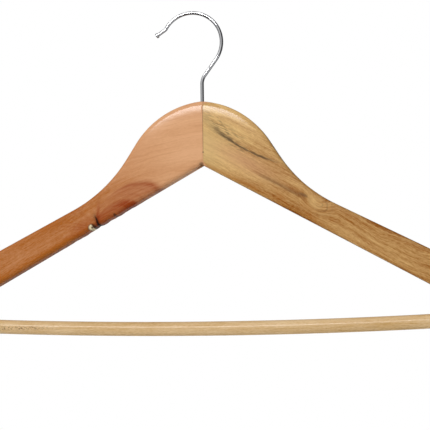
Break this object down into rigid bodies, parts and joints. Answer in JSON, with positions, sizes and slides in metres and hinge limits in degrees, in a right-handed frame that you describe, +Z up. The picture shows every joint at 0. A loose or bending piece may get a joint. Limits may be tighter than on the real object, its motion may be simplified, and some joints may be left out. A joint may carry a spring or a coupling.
{
  "type": "clothes hanger",
  "caption": "Wooden clothes hanger with rounded shoulders glued at the crown, a round trouser bar between the arm ends and a swivelling bent wire hook.",
  "frame": {"origin": "rail seat: the inside of the hook's arc at its top, where the hook rests on a rail", "axes": "+X along the shoulders to the side of the hook's stem, +Y from the front face to the back face and along the rail, +Z up"},
  "size_m": [0.4451, 0.014, 0.2314],
  "materials": {
    "pink_wood": "clear satin lacquer over pinkish brown wood with a knot",
    "brown_wood": "clear satin lacquer over golden brown wood with dark streaks",
    "pale_wood": "clear satin lacquer over pale beige wood",
    "chrome_wire": "bright polished plating",
    "plain_steel": "plain zinc-coated steel"
  },
  "bodies": {
    "hook": {"hook": "chrome_wire", "hook_nut": "plain_steel"},
    "hanger": {"left_shoulder": "pink_wood", "right_shoulder": "brown_wood", "trouser_bar": "pale_wood", "hook_washer": "plain_steel", "bar_brad_left": "plain_steel", "bar_brad_right": "plain_steel"}
  },
  "joints": [
    {"name": "hook_swivel", "type": "hinge", "parent": "hook", "child": "hanger", "pos_m": [0.00725, 0, -0.101], "axis": [0, 0, 1], "continuous": true}
  ]
}
